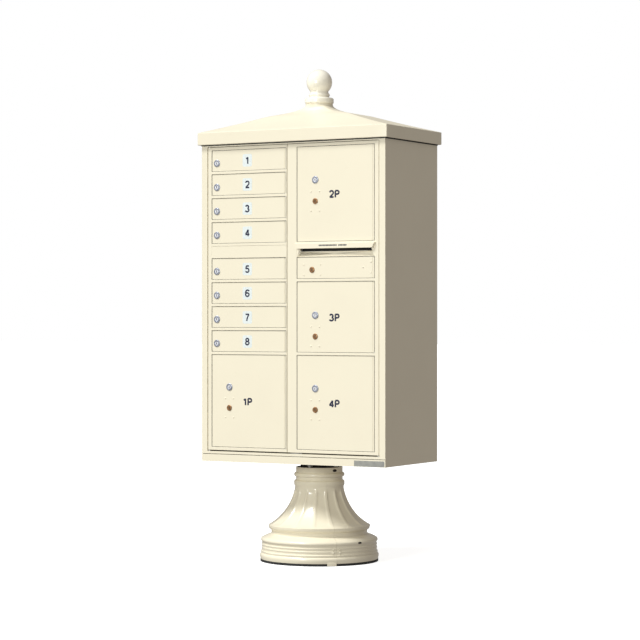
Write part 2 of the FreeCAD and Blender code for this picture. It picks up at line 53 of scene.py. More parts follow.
# ---- colours (linear) ----
CREAM = (0.83, 0.765, 0.60)
CREAM_DEEP = (0.72, 0.65, 0.49)
INK = (0.012, 0.016, 0.045)
LABEL = (0.72, 0.775, 0.765)
PLATE = (0.33, 0.33, 0.30)
# painted shade: near-black for the shadow down in a plug's keyway
KEYWAY_PAINTED_SHADE = (0.006, 0.006, 0.008)

KEYWAY_SHADE_EDGE = 0.0001               # half width, in metres, of the blend into the black
EVEN = (1.0, 1.0, 1.0)             # how marks in metal are stretched: the lowest factor is their run
UPRIGHT = (1.0, 1.0, 0.04)
UPRIGHT_FINE = (1.0, 1.0, 0.06)
TURNED = (1.0, 0.1, 1.0)
LEVEL = (0.05, 1.0, 1.0)


# ======================================================================= materials
def node_material(name):
    """Empty node material: returns it, its nodes, its links and its Principled shader."""
    mat = bpy.data.materials.new(name)
    mat.use_nodes = True
    nodes = mat.node_tree.nodes
    return mat, nodes, mat.node_tree.links, nodes["Principled BSDF"]


def noise(nodes, links, scale, detail=4.0, rough=0.5):
    """Noise in the object's own coordinates, which are metres."""
    coords = nodes.new("ShaderNodeTexCoord")
    tex = nodes.new("ShaderNodeTexNoise")
    tex.inputs["Scale"].default_value = scale
    tex.inputs["Detail"].default_value = detail
    tex.inputs["Roughness"].default_value = rough
    links.new(coords.outputs["Object"], tex.inputs["Vector"])
    return tex.outputs["Fac"]


def ramp(nodes, links, source, stops):
    """Colour ramp: stops are (position, colour)."""
    node = nodes.new("ShaderNodeValToRGB")
    band = node.color_ramp
    while len(band.elements) < len(stops):
        band.elements.new(0.5)
    for element, (at, colour) in zip(band.elements, stops):
        element.position = at
        element.color = (*colour, 1.0)
    links.new(source, node.inputs["Fac"])
    return node.outputs["Color"]


def spread(nodes, links, source, low, high):
    node = nodes.new("ShaderNodeMapRange")
    node.inputs["To Min"].default_value = low
    node.inputs["To Max"].default_value = high
    links.new(source, node.inputs["Value"])
    return node.outputs["Result"]


def bump(nodes, links, shader, sources):
    """Stacks bumps on a shader: sources are (height, strength, distance in metres)."""
    last = None
    for height, strength, distance in sources:
        node = nodes.new("ShaderNodeBump")
        node.inputs["Strength"].default_value = strength
        node.inputs["Distance"].default_value = distance
        links.new(height, node.inputs["Height"])
        if last is not None:
            links.new(last, node.inputs["Normal"])
        last = node.outputs["Normal"]
    links.new(last, shader.inputs["Normal"])


def mixed(nodes, links, factor, first, second):
    node = nodes.new("ShaderNodeMix")
    node.data_type = "RGBA"
    links.new(factor, node.inputs["Factor"])
    for slot, value in (("A", first), ("B", second)):
        socket = [s for s in node.inputs if s.name == slot and s.type == "RGBA"][0]
        if isinstance(value, tuple):
            socket.default_value = (*value, 1.0)
        else:
            links.new(value, socket)
    return [s for s in node.outputs if s.type == "RGBA"][0]


def powder_coat(name, colour, deep, gloss=0.42):
    """Powder-coat paint: orange peel, fine grain, faint cloudiness and dust."""
    mat, nodes, links, shader = node_material(name)
    cloud = noise(nodes, links, 5.0, 3.0, 0.55)
    grain = noise(nodes, links, 420.0, 2.0, 0.5)
    peel = noise(nodes, links, 160.0, 2.0, 0.45)
    dust = noise(nodes, links, 38.0, 6.0, 0.65)
    pale = tuple(min(1.0, 1.012 * c) for c in colour)
    soft = tuple(0.985 * c for c in colour)
    base = ramp(nodes, links, cloud, [(0.3, soft), (0.5, colour), (0.75, pale)])
    dusty = ramp(nodes, links, dust, [(0.60, (0.0,) * 3), (0.82, (0.22,) * 3)])
    links.new(mixed(nodes, links, dusty, base, deep), shader.inputs["Base Color"])
    links.new(spread(nodes, links, peel, gloss - 0.07, gloss + 0.09), shader.inputs["Roughness"])
    bump(nodes, links, shader, [(peel, 0.16, 0.0004), (grain, 0.10, 0.0001)])
    shader.inputs["Specular IOR Level"].default_value = 0.5
    shader.inputs["Coat Weight"].default_value = 0.12
    shader.inputs["Coat Roughness"].default_value = 0.25
    return mat


def metal(name, colour, dark, rough, brushed, scale, depth=0.15, metallic=1.0, sunk=None):
    """Metal with brushed or turned marks, stretched along the axis with the lowest factor.

    sunk is a range of Y, in metres, where the metal is painted black: a painted shade for the shadow at the bottom
    of a keyway.
    """
    mat, nodes, links, shader = node_material(name)
    coords = nodes.new("ShaderNodeTexCoord")
    stretch = nodes.new("ShaderNodeMapping")
    stretch.inputs["Scale"].default_value = brushed
    links.new(coords.outputs["Object"], stretch.inputs["Vector"])
    tex = nodes.new("ShaderNodeTexNoise")
    tex.inputs["Scale"].default_value = scale
    tex.inputs["Detail"].default_value = 5.0
    links.new(stretch.outputs["Vector"], tex.inputs["Vector"])
    marks = tex.outputs["Fac"]
    stain = noise(nodes, links, 60.0, 4.0, 0.6)
    bright = tuple(min(1.0, 1.1 * c) for c in colour)
    base = ramp(nodes, links, stain, [(0.3, dark), (0.55, colour), (0.8, bright)])
    # painted shade: the keyway's range of Y is mixed to black
    if sunk:
        axes = nodes.new("ShaderNodeSeparateXYZ")
        links.new(coords.outputs["Object"], axes.inputs["Vector"])
        inside = []
        for edge, sign in zip(sunk, (1.0, -1.0)):
            step = nodes.new("ShaderNodeMapRange")
            step.inputs["From Min"].default_value = edge - sign * KEYWAY_SHADE_EDGE
            step.inputs["From Max"].default_value = edge + sign * KEYWAY_SHADE_EDGE
            links.new(axes.outputs["Y"], step.inputs["Value"])
            inside.append(step.outputs["Result"])
        both = nodes.new("ShaderNodeMath")
        both.operation = "MULTIPLY"
        links.new(inside[0], both.inputs[0])
        links.new(inside[1], both.inputs[1])
        base = mixed(nodes, links, both.outputs["Value"], base, KEYWAY_PAINTED_SHADE)
    links.new(base, shader.inputs["Base Color"])
    shader.inputs["Metallic"].default_value = metallic
    links.new(spread(nodes, links, marks, rough - 0.08, rough + 0.12), shader.inputs["Roughness"])
    bump(nodes, links, shader, [(marks, depth, 0.0002)])
    return mat


# black rubber for the base pad; the same black is painted shade in the door gaps and under the cap's edge
def rubber():
    mat, nodes, links, shader = node_material("rubber")
    grain = noise(nodes, links, 500.0, 4.0, 0.6)
    bloom = noise(nodes, links, 20.0, 4.0, 0.6)
    links.new(ramp(nodes, links, bloom, [(0.35, (0.012, 0.012, 0.012)), (0.8, (0.035, 0.034, 0.033))]),
              shader.inputs["Base Color"])
    links.new(spread(nodes, links, grain, 0.7, 0.9), shader.inputs["Roughness"])
    bump(nodes, links, shader, [(grain, 0.4, 0.0004)])
    return mat


def printed(name, colour, rough):
    """Thin printed vinyl film."""
    mat, nodes, links, shader = node_material(name)
    fleck = noise(nodes, links, 240.0, 3.0, 0.6)
    low = tuple(0.9 * c for c in colour)
    high = tuple(min(1.0, 1.12 * c + 0.004) for c in colour)
    links.new(ramp(nodes, links, fleck, [(0.3, low), (0.7, high)]), shader.inputs["Base Color"])
    links.new(spread(nodes, links, fleck, rough - 0.05, rough + 0.08), shader.inputs["Roughness"])
    bump(nodes, links, shader, [(fleck, 0.08, 0.0001)])
    return mat


PAINT = powder_coat("cream_powder_coat", CREAM, CREAM_DEEP)
CAST_PAINT = powder_coat("cream_on_casting", CREAM, CREAM_DEEP, gloss=0.20)
# painted light: a lighter, paler copy of the cream, so the finial ball reads as more brightly lit
BALL_PAINTED_LIGHT = powder_coat("cream_painted_light_on_finial", (0.93, 0.885, 0.76), (0.82, 0.76, 0.62), gloss=0.20)
ALUMINIUM = metal("mill_aluminium", (0.62, 0.63, 0.64), (0.50, 0.51, 0.53), 0.38, UPRIGHT, 500.0)
STEEL = metal("ground_steel", (0.55, 0.55, 0.56), (0.42, 0.42, 0.43), 0.32, UPRIGHT_FINE, 700.0)
ZINC = metal("zinc_plate", (0.52, 0.53, 0.52), (0.40, 0.41, 0.38), 0.42, EVEN, 350.0)
PLUG_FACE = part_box("tenant_plug_1")[0].y
# painted shade: this range of Y in each plug is painted black for the keyway's shadow
KEYWAY = (PLUG_FACE + 0.3 * MM, PLUG_FACE + 4.3 * MM)     # range of Y that is black in a plug
CHROME = metal("satin_nickel", (0.36, 0.38, 0.45), (0.26, 0.28, 0.34), 0.36, TURNED, 900.0, 0.12, 0.5)
PLUG_CHROME = metal("plug_nickel", (0.90, 0.91, 0.96), (0.80, 0.81, 0.88), 0.38, TURNED, 900.0,
                    0.1, 0.2, KEYWAY)
BRASS = metal("satin_brass", (0.36, 0.19, 0.085), (0.25, 0.125, 0.055), 0.36, TURNED, 900.0, 0.12, 0.5)
PLUG_BRASS = metal("plug_brass", (0.32, 0.17, 0.075), (0.22, 0.11, 0.045), 0.38, TURNED, 900.0,
                   0.1, 0.4, KEYWAY)
# painted shade: near-black for the slot's throat, the keyway frames and the pedestal in the gap under the cabinet
SHADE_BLACK = printed("painted_shade_black", (0.022, 0.020, 0.018), 0.6)
RUBBER_AND_SHADE = rubber()
INK_FILM = printed("number_ink", INK, 0.45)
LABEL_FILM = printed("number_label", LABEL, 0.5)
# dark screw steel, also used as painted shade for the recess round each screw
DARK_SCREW_AND_SHADE = metal("dark_screw_and_recess_shade", (0.05, 0.045, 0.04), (0.02, 0.02, 0.02), 0.5, EVEN, 300.0)
PLATE_FILM = metal("rating_plate", PLATE, (0.27, 0.27, 0.255), 0.5, LEVEL, 600.0, 0.1, 0.25)

SLOT_MATERIAL = {
    # the pedestal takes the painted shade black, for the dark gap between the pillar cover and the cabinet
    "cream_paint": PAINT, "bare_aluminium": ALUMINIUM, "pedestal_steel": SHADE_BLACK,
    "zinc_hardware": ZINC, "stainless": STEEL, "lock_chrome": CHROME, "lock_brass": BRASS,
    "rubber_pad": RUBBER_AND_SHADE,
}


# ======================================================================= mesh helpers
def bevelled(obj, width, segments=2, angle=40):
    mod = obj.modifiers.new("edge", "BEVEL")
    mod.width = width
    mod.segments = segments
    mod.limit_method = "ANGLE"
    mod.angle_limit = math.radians(angle)
    mod.harden_normals = True


def shaded(obj, smooth_angle=35):
    """Smooth shading with sharp edges above an angle."""
    mesh = obj.data
    bm = bmesh.new()
    bm.from_mesh(mesh)
    limit = math.radians(smooth_angle)
    for face in bm.faces:
        face.smooth = True
    for edge in bm.edges:
        if len(edge.link_faces) == 2:
            edge.smooth = edge.calc_face_angle(0.0) < limit
    bm.to_mesh(mesh)
    bm.free()


def new_piece(name, bm, material, body, smooth_angle=35):
    """Closes a bmesh into a piece that rides on a body."""
    bmesh.ops.recalc_face_normals(bm, faces=bm.faces)
    mesh = bpy.data.meshes.new(name)
    bm.to_mesh(mesh)
    bm.free()
    obj = bpy.data.objects.new(name, mesh)
    bpy.context.scene.collection.objects.link(obj)
    obj.data.materials.append(material)
    shaded(obj, smooth_angle)
    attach(obj, body)
    return obj


def add_box(bm, lo, hi):
    verts = bmesh.ops.create_cube(bm, size=1.0)["verts"]
    size = [hi[k] - lo[k] for k in range(3)]
    centre = [(hi[k] + lo[k]) / 2 for k in range(3)]
    bmesh.ops.scale(bm, vec=size, verts=verts)
    bmesh.ops.translate(bm, vec=centre, verts=verts)


def bridge(bm, a, b):
    """Faces between two closed rings with as many vertices each, or with one: a tip."""
    count = max(len(a), len(b))
    for k in range(count):
        m = (k + 1) % count
        corners = [a[k % len(a)], a[m % len(a)], b[m % len(b)], b[k % len(b)]]
        corners = list(dict.fromkeys(corners))
        if len(corners) > 2:
            bm.faces.new(corners)


def add_strip(bm, rings):
    """Closed solid through a row of rings, with a flat face on each end."""
    for a, b in zip(rings, rings[1:]):
        bridge(bm, a, b)
    bm.faces.new(rings[0])
    bm.faces.new(rings[-1])


def add_lathe(bm, profile, segments, place, closed=True):
    """Revolves (radius, height) points; place maps a point on the local axis frame to the row frame."""
    rings = []
    for r, h in profile:
        ring = []
        for k in range(segments if r > 1e-7 else 1):
            a = 2 * math.pi * k / segments
            ring.append(bm.verts.new(place(Vector((r * math.cos(a), r * math.sin(a), h)))))
        rings.append(ring)
    pairs = list(zip(rings, rings[1:]))
    if closed:
        pairs.append((rings[-1], rings[0]))
    for a, b in pairs:
        bridge(bm, a, b)


def facing_front(x, y, z):
    """Local +Z becomes -Y: for turned pieces whose axis runs out of the front."""
    turn = Matrix.Rotation(math.radians(90), 3, "X")
    return lambda p: turn @ p + Vector((x, y, z))


def upright_at(x, y, z):
    return lambda p: p + Vector((x, y, z))


def add_knuckle(bm, x, y, z0, z1, radius, bore, edge, segments):
    """Rolled hinge edge: a tube with softened ends round its pin or rod."""
    profile = [(bore, z0), (radius - edge, z0), (radius, z0 + edge), (radius, z1 - edge),
               (radius - edge, z1), (bore, z1)]
    add_lathe(bm, profile, segments, upright_at(x, y, 0))


def rounded_profile(points, radius, steps=3):
    """Rounds the corners of an open (r, h) profile with short arcs."""
    out = [points[0]]
    for before, corner, after in zip(points, points[1:], points[2:]):
        a = Vector(before) - Vector(corner)
        b = Vector(after) - Vector(corner)
        cut = min(radius, a.length * 0.45, b.length * 0.45)
        start = Vector(corner) + a.normalized() * cut
        end = Vector(corner) + b.normalized() * cut
        for k in range(steps + 1):
            t = k / steps
            p = start * (1 - t) ** 2 + Vector(corner) * (2 * t * (1 - t)) + end * t ** 2
            out.append((p.x, p.y))
    out.append(points[-1])
    return out


def add_sheet_with_holes(bm, rect, holes, y0, y1):
    """Plate in the XZ plane from y0 (front) to y1 with rectangular holes; one closed shell."""
    xs = sorted({rect[0], rect[1]} | {h[k] for h in holes for k in (0, 1)})
    zs = sorted({rect[2], rect[3]} | {h[k] for h in holes for k in (2, 3)})
    solid = {}
    for i in range(len(xs) - 1):
        for j in range(len(zs) - 1):
            cx = (xs[i] + xs[i + 1]) / 2
            cz = (zs[j] + zs[j + 1]) / 2
            solid[i, j] = not any(h[0] < cx < h[1] and h[2] < cz < h[3] for h in holes)
    verts = {}

    def vert(i, j, back):
        key = (i, j, back)
        if key not in verts:
            verts[key] = bm.verts.new((xs[i], y1 if back else y0, zs[j]))
        return verts[key]

    for (i, j), full in solid.items():
        if not full:
            continue
        for back in (False, True):
            loop = [vert(i, j, back), vert(i + 1, j, back), vert(i + 1, j + 1, back), vert(i, j + 1, back)]
            bm.faces.new(loop if not back else loop[::-1])
        sides = (((i, j - 1), (i, j), (i + 1, j)), ((i, j + 1), (i, j + 1), (i + 1, j + 1)),
                 ((i - 1, j), (i, j), (i, j + 1)), ((i + 1, j), (i + 1, j), (i + 1, j + 1)))
        for beside, a, b in sides:
            if not solid.get(beside, False):
                bm.faces.new([vert(*a, False), vert(*b, False), vert(*b, True), vert(*a, True)])


# ======================================================================= sizes read from the frame
DOOR_GAP = 1.0 * MM
HINGE_CLEAR = 2.2 * MM     # rolled hinge edge to the opening's right edge
KNUCKLE_R = 3.2 * MM
ROD_BORE_R = 1.6 * MM
MASTER_KNUCKLE_R = 5.0 * MM
PIN_BORE_R = 2.6 * MM
RING_R = 13.5 * MM
BRASS_RING_R = 11.0 * MM
RING_T = 2.5 * MM
PLUG_HOLE_R = 6.6 * MM
BARREL_R = 9.0 * MM
RIVET_R = 3.2 * MM

TENANTS = range(1, 9)
PARCELS = {1: "left", 2: "right", 3: "right", 4: "right"}


def opening_of(door):
    """Opening of the master frame that a door closes: low x, high x, low z, high z."""
    lo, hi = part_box(door)
    return (lo.x - DOOR_GAP, hi.x + HINGE_CLEAR, lo.z - DOOR_GAP, hi.z + DOOR_GAP)


def lock_centre(joint):
    """Axis of a lock plug in the front view, from its joint."""
    pos = JOINTS[joint]["pos_m"]
    return pos[0], pos[2]


# ======================================================================= carried CAD nodes
FINE_NODES = ("tenant_plug", "parcel_customer_plug", "parcel_carrier_plug", "arrow_plug")
PLUG_MATERIAL = {"lock_chrome": PLUG_CHROME, "lock_brass": PLUG_BRASS}


def dress_cad_nodes():
    """Every CAD node that stays takes its slot's material and softened edges."""
    for part in frame["record"]["subparts"]:
        obj = NODES[part["node"]]
        slot = part["material_slot"]
        material = PLUG_MATERIAL.get(slot, SLOT_MATERIAL[slot])
        obj.data.materials.clear()
        obj.data.materials.append(material)
        bevelled(obj, (0.3 if part["node"].startswith(FINE_NODES) else 0.7) * MM, 2, 48)


dress_cad_nodes()


# ======================================================================= master doors
def master_frame(side, doors, extra_holes, plates):
    """One-piece welded frame of a master door: face with its openings, rolled hinge edge, plates behind."""
    node = side + "_master_frame"
    lo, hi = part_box(node)
    hinge = JOINTS[side + "_master_hinge"]["pos_m"]
    x0 = hinge[0] if side == "left" else lo.x
    x1 = hinge[0] if side == "right" else hi.x
    bm = bmesh.new()
    holes = [opening_of(door) for door in doors] + extra_holes
    add_sheet_with_holes(bm, (x0, x1, lo.z, hi.z), holes, lo.y, hi.y)
    add_knuckle(bm, hinge[0], hinge[1], lo.z, hi.z, MASTER_KNUCKLE_R, PIN_BORE_R, 0.6 * MM, 32)
    for plate in plates:
        add_box(bm, *plate)
    piece = new_piece(side + "_master_door_frame", bm, PAINT, side + "_master_door")
    bevelled(piece, 0.9 * MM, 2, 50)
    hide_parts(node)


def door_linings(side, doors):
    """Thin black lining on the walls of the frame's openings: painted shade in the gaps round the doors."""
    lo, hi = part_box(side + "_master_frame")
    thick = 0.35 * MM
    bm = bmesh.new()
    for door in doors:
        x0, x1, z0, z1 = opening_of(door)
        front, rear = lo.y + 0.7 * MM, hi.y - 0.2 * MM
        rings = []
        for y, inset in ((front, 0.0), (rear, 0.0), (rear, thick), (front, thick)):
            xs, zs = (x0 + inset, x1 - inset), (z0 + inset, z1 - inset)
            rings.append([bm.verts.new((xs[i], y, zs[j])) for i, j in ((0, 0), (1, 0), (1, 1), (0, 1))])
        for a, b in zip(rings, rings[1:] + rings[:1]):
            bridge(bm, a, b)
    new_piece(side + "_gap_shade_trims", bm, RUBBER_AND_SHADE, side + "_master_door")


def strike(door, low_lock, high_lock):
    """Strike plate beside a parcel locker's two locks, just behind the door."""
    x0, _, z0, _ = opening_of(door)
    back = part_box("right_master_frame")[1].y
    low = max(low_lock[1] - 16 * MM, z0)
    return ((x0 - 2 * MM, back - 3 * MM, low), (x0 + 58 * MM, back, high_lock[1] + 16 * MM))


def parcel_strikes(side):
    plates = []
    for number, where in PARCELS.items():
        if where == side:
            customer = lock_centre("parcel_customer_plug_%d_turn" % number)
            carrier = lock_centre("parcel_carrier_plug_%d_turn" % number)
            plates.append(strike("parcel_door_%d" % number, carrier, customer))
    return plates


def band_of(side):
    """Space between the upper and the lower group of openings of a column."""
    upper = opening_of("tenant_door_4")[2] - 10 * MM
    lower = opening_of("tenant_door_5")[3]
    door = "tenant_door_1" if side == "left" else "parcel_door_2"
    x0, x1, _, _ = opening_of(door)
    return x0, x1, lower, upper


def blank_band():
    """Plain plate that fills the space between customer doors 4 and 5."""
    x0, x1, z0, z1 = band_of("left")
    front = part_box("left_master_frame")[0].y
    bm = bmesh.new()
    add_box(bm, (x0 - 1 * MM, front + 0.5 * MM, z0 + 0.3 * MM), (x1 + 1 * MM, front + 4 * MM, z1 - 0.3 * MM))
    piece = new_piece("blank_band", bm, PAINT, "left_master_door")
    bevelled(piece, 0.8 * MM)


def slot_band():
    """Plate with the outgoing mail slot; below the slot it slopes back as a chin with slanted ends."""
    x0, x1, z0, z1 = band_of("right")
    front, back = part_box("right_master_frame")[0].y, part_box("right_master_frame")[1].y
    hood_lo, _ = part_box("outgoing_mail_hood")
    face = front + 0.6 * MM
    left, right = x0 - 1 * MM, x1 + 1 * MM
    top, foot = z1 - 0.3 * MM, z0 + 0.3 * MM
    slot_l, slot_r = x0 + 12.4 * MM, x1 - 13.4 * MM
    slot_z0, slot_z1 = hood_lo.z - 10.5 * MM, hood_lo.z - 0.2 * MM
    deep = front + 7.8 * MM
    chin_l, chin_r = x0 + 1.5 * MM, x1 - 3.2 * MM
    chin_z = z0 + 0.8 * MM
    sunk, sunk_z = deep - 2.2 * MM, chin_z + 1.2 * MM
    outline = {
        "a": (left, face, foot), "b": (right, face, foot), "c": (right, face, top), "d": (left, face, top),
        "e": (chin_l, face, chin_z), "f": (chin_r, face, chin_z),
        "s": (chin_l + 2.5 * MM, sunk, sunk_z), "t": (chin_r - 2.5 * MM, sunk, sunk_z),
        "g": (slot_r, deep, slot_z0), "h": (slot_l, deep, slot_z0),
        "i": (slot_r, face, slot_z1), "j": (slot_l, face, slot_z1),
        "k": (slot_r, back, slot_z0), "l": (slot_l, back, slot_z0),
        "m": (slot_r, back, slot_z1), "n": (slot_l, back, slot_z1),
        "o": (left, back, foot), "p": (right, back, foot), "q": (right, back, top), "r": (left, back, top),
    }
    bm = bmesh.new()
    at = {key: bm.verts.new(co) for key, co in outline.items()}
    for keys in ("abfe", "ehj", "eja", "ajd", "djic", "cif", "cfb", "igf", "esh", "ftg", "stfe", "sthg",
                 "ghlk", "jhln", "igkm", "jnmi", "oadr", "bpqc", "aopb", "dcqr", "olkp", "pkmq", "mnrq",
                 "nlor"):
        bm.faces.new([at[key] for key in keys])
    bmesh.ops.triangulate(bm, faces=[f for f in bm.faces if len(f.verts) == 4])
    piece = new_piece("slot_band", bm, PAINT, "right_master_door", 12)


def chute():
    """Throat behind the mail slot, so that letters drop and light doesn't pass; its black is painted shade inside
    the slot.
    """
    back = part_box("right_master_frame")[1].y
    x0, x1, _, _ = band_of("right")
    left, right = x0 + 10 * MM, x1 - 12 * MM
    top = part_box("outgoing_mail_hood")[0].z + 2 * MM
    path = [(back, top), (back + 9 * MM, top - 2 * MM), (back + 13 * MM, top - 12 * MM),
            (back + 13 * MM, top - 34 * MM)]
    sheet = 1.0 * MM
    bm = bmesh.new()
    rings = []
    for y, z in path:
        under = (y - 0.6 * sheet, z - sheet)
        corners = ((left, y, z), (right, y, z), (right, *under), (left, *under))
        rings.append([bm.verts.new(co) for co in corners])
    add_strip(bm, rings)
    new_piece("slot_shade_baffle", bm, SHADE_BLACK, "right_master_door")


def mail_hood():
    """Raised lip over the slot: a face that leans out a little, slanted ends, an open underside."""
    lo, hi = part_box("outgoing_mail_hood")
    face = lo.y
    wall = hi.y + 0.8 * MM
    lean = 0.9 * MM
    brow = 1.6 * MM
    taper, bevel = 9 * MM, 4 * MM
    sheet = 1.4 * MM

    def ring(g):
        """Corners of the face and of the root, drawn in by g."""
        top_y, top_z = face + lean + g, hi.z - brow - g
        foot = bevel + taper + g
        return {
            "tl": (lo.x + bevel + g, top_y, top_z), "tr": (hi.x - bevel - g, top_y, top_z),
            "bl": (lo.x + foot, face + g, lo.z), "br": (hi.x - foot, face + g, lo.z),
            "wtl": (lo.x + g, wall, hi.z - g), "wtr": (hi.x - g, wall, hi.z - g),
            "wbl": (lo.x + taper + g, wall, lo.z), "wbr": (hi.x - taper - g, wall, lo.z),
        }

    bm = bmesh.new()
    out = {key: bm.verts.new(co) for key, co in ring(0.0).items()}
    into = {key: bm.verts.new(co) for key, co in ring(sheet).items()}
    for keys in (("tl", "tr", "br", "bl"), ("wtl", "wtr", "tr", "tl"),
                 ("wtl", "tl", "bl", "wbl"), ("tr", "wtr", "wbr", "br")):
        bm.faces.new([out[key] for key in keys])
        bm.faces.new([into[key] for key in reversed(keys)])
    rim = ["wbl", "bl", "br", "wbr", "wtr", "wtl", "wbl"]
    for a, b in zip(rim, rim[1:]):
        bm.faces.new([out[a], out[b], into[b], into[a]])
    piece = new_piece("mail_hood", bm, PAINT, "right_master_door", 20)
    bevelled(piece, 0.9 * MM, 3, 15)
    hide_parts("outgoing_mail_hood")


def hood_marks():
    """Row of plain dashes on the hood's face, in two groups."""
    lo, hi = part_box("outgoing_mail_hood")
    middle_x = (lo.x + hi.x) / 2 - 5 * MM
    middle_z = (lo.z + hi.z) / 2 + 0.5 * MM
    front = lo.y + 0.45 * MM       # the face leans back upwards
    pitch, dash, height = 5.8 * MM, 4.3 * MM, 5.6 * MM
    count, gap_at = 20, 13
    bm = bmesh.new()
    for k in range(count):
        if k != gap_at:
            x = middle_x + (k - count // 2) * pitch
            add_box(bm, (x, front - 0.12 * MM, middle_z - height / 2),
                    (x + dash, front + 0.3 * MM, middle_z + height / 2))
    new_piece("hood_dashes", bm, INK_FILM, "right_master_door")


# ======================================================================= doors
def door_piece(name, body):
    """Flat leaf with softened edges, rolled hinge edge at its right and folded hems behind."""
    lo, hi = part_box(name)
    hinge_x = hi.x - KNUCKLE_R
    leaf_back = lo.y + KNUCKLE_R
    bm = bmesh.new()
    add_box(bm, (lo.x, lo.y, lo.z), (hinge_x - KNUCKLE_R - 0.25 * MM, leaf_back, hi.z))
    web = (hinge_x - KNUCKLE_R - 1.5 * MM, lo.y + 1.1 * MM, lo.z + 1 * MM)
    add_box(bm, web, (hinge_x - 1 * MM, leaf_back - 0.3 * MM, hi.z - 1 * MM))
    for z in (lo.z + 1.2 * MM, hi.z - 3.2 * MM):
        add_box(bm, (lo.x + 3 * MM, leaf_back - 0.5 * MM, z),
                (hinge_x - 12 * MM, leaf_back + 4.5 * MM, z + 2 * MM))
    add_knuckle(bm, hinge_x, leaf_back, lo.z, hi.z, KNUCKLE_R, ROD_BORE_R, 0.4 * MM, 24)
    piece = new_piece(name + "_leaf", bm, PAINT, body)
    bevelled(piece, 0.7 * MM, 2, 50)
    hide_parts(name)


def ring_profile(outer, bore):
    """Half section of a lock's face ring, out from the door's front."""
    t = RING_T
    return rounded_profile([(bore, 0.0), (outer, 0.0), (outer, t * 0.45), (outer - 1.6 * MM, t * 0.9),
                            (outer - 3.2 * MM, t), (bore + 0.9 * MM, t), (bore, t * 0.6), (bore, 0.0)],
                           0.5 * MM, 2)


def lock_ring(name, joint, body, front_y, material, slot, outer):
    """Face ring, threaded barrel and nut of one lock."""
    x, z = lock_centre(joint)
    bm = bmesh.new()
    add_lathe(bm, ring_profile(outer, PLUG_HOLE_R), 48, facing_front(x, front_y, z))
    barrel = [(PLUG_HOLE_R, 0.0), (BARREL_R, 0.0)]
    threads, pitch = 7, 1.0 * MM
    for k in range(threads):
        h = -3.2 * MM - k * pitch
        barrel += [(BARREL_R, h - 0.1 * MM), (BARREL_R - 0.4 * MM, h - 0.5 * MM), (BARREL_R, h - 0.9 * MM)]
    barrel += [(PLUG_HOLE_R, -10.0 * MM)]
    add_lathe(bm, barrel, 32, facing_front(x, front_y, z))
    nut = [(BARREL_R, -3.3 * MM), (12.4 * MM, -3.3 * MM), (13.0 * MM, -3.9 * MM), (13.0 * MM, -6.0 * MM),
           (12.2 * MM, -6.7 * MM), (BARREL_R, -6.7 * MM)]
    add_lathe(bm, nut, 6 if slot == "lock_brass" else 48, facing_front(x, front_y, z))
    return new_piece(name, bm, material, body)


def key_guards():
    """Black frame round the keyway of every plug: painted shade for the keyway's shadowed opening."""
    for name in [n for n in NODES if "_plug" in n]:
        x, z = lock_centre(name + "_turn")
        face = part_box(name)[0].y
        bm = bmesh.new()
        add_sheet_with_holes(bm, (x - 1.7 * MM, x + 1.7 * MM, z - 4.6 * MM, z + 4.6 * MM),
                             [(x - 0.8 * MM, x + 0.8 * MM, z - 3.75 * MM, z + 3.75 * MM)],
                             face - 0.15 * MM, face + 0.03 * MM)
        new_piece(name + "_keyway_shade", bm, SHADE_BLACK, name)


def rivets(name, places, body, front_y):
    """Low dome heads on a front face."""
    profile = [(0.0, 1.6 * MM), (RIVET_R * 0.45, 1.45 * MM), (RIVET_R * 0.8, 0.95 * MM),
               (RIVET_R, 0.2 * MM), (RIVET_R, -0.4 * MM), (0.0, -0.4 * MM)]
    bm = bmesh.new()
    for x, z in places:
        add_lathe(bm, profile, 20, facing_front(x, front_y, z), closed=False)
    new_piece(name, bm, PAINT, body, 50)


def arc(cx, cz, rx, rz, start, end, steps=14):
    """Points on an ellipse's arc, angles in degrees from +x, counterclockwise positive."""
    return [(cx + rx * math.cos(math.radians(start + (end - start) * k / steps)),
             cz + rz * math.sin(math.radians(start + (end - start) * k / steps))) for k in range(steps + 1)]


# Centre lines of the glyphs, in units of the glyph's height, from its lower left corner.
GLYPHS = {
    "1": (0.46, [[(0.30, 0.0), (0.30, 0.93)], [(0.29, 0.90), (0.20, 0.79), (0.06, 0.71)]]),
    "2": (0.60, [arc(0.30, 0.68, 0.235, 0.255, 170, -30) + [(0.42, 0.43), (0.09, 0.07)],
                 [(0.05, 0.065), (0.57, 0.065)]]),
    "3": (0.60, [arc(0.28, 0.715, 0.205, 0.215, 165, -80), arc(0.28, 0.285, 0.245, 0.222, 82, -165)]),
    "4": (0.62, [[(0.43, 0.0), (0.43, 0.93)], [(0.43, 0.90), (0.07, 0.295)], [(0.03, 0.27), (0.61, 0.27)]]),
    "5": (0.60, [[(0.53, 0.935), (0.14, 0.935)], [(0.16, 0.93), (0.10, 0.50)],
                 arc(0.285, 0.33, 0.245, 0.268, 138, -160)]),
    "6": (0.60, [arc(0.30, 0.305, 0.24, 0.242, 180, -180, 28), arc(0.335, 0.55, 0.275, 0.39, 196, 36)]),
    "7": (0.58, [[(0.04, 0.935), (0.54, 0.935)], [(0.52, 0.90), (0.36, 0.62), (0.26, 0.32), (0.22, 0.0)]]),
    "8": (0.60, [arc(0.30, 0.725, 0.195, 0.21, 90, 450, 28), arc(0.30, 0.285, 0.235, 0.222, 90, 450, 28)]),
    "P": (0.62, [[(0.09, 0.0), (0.09, 0.93)],
                 [(0.08, 0.935), (0.34, 0.935)] + arc(0.345, 0.70, 0.20, 0.235, 90, -90) + [(0.10, 0.465)]]),
}


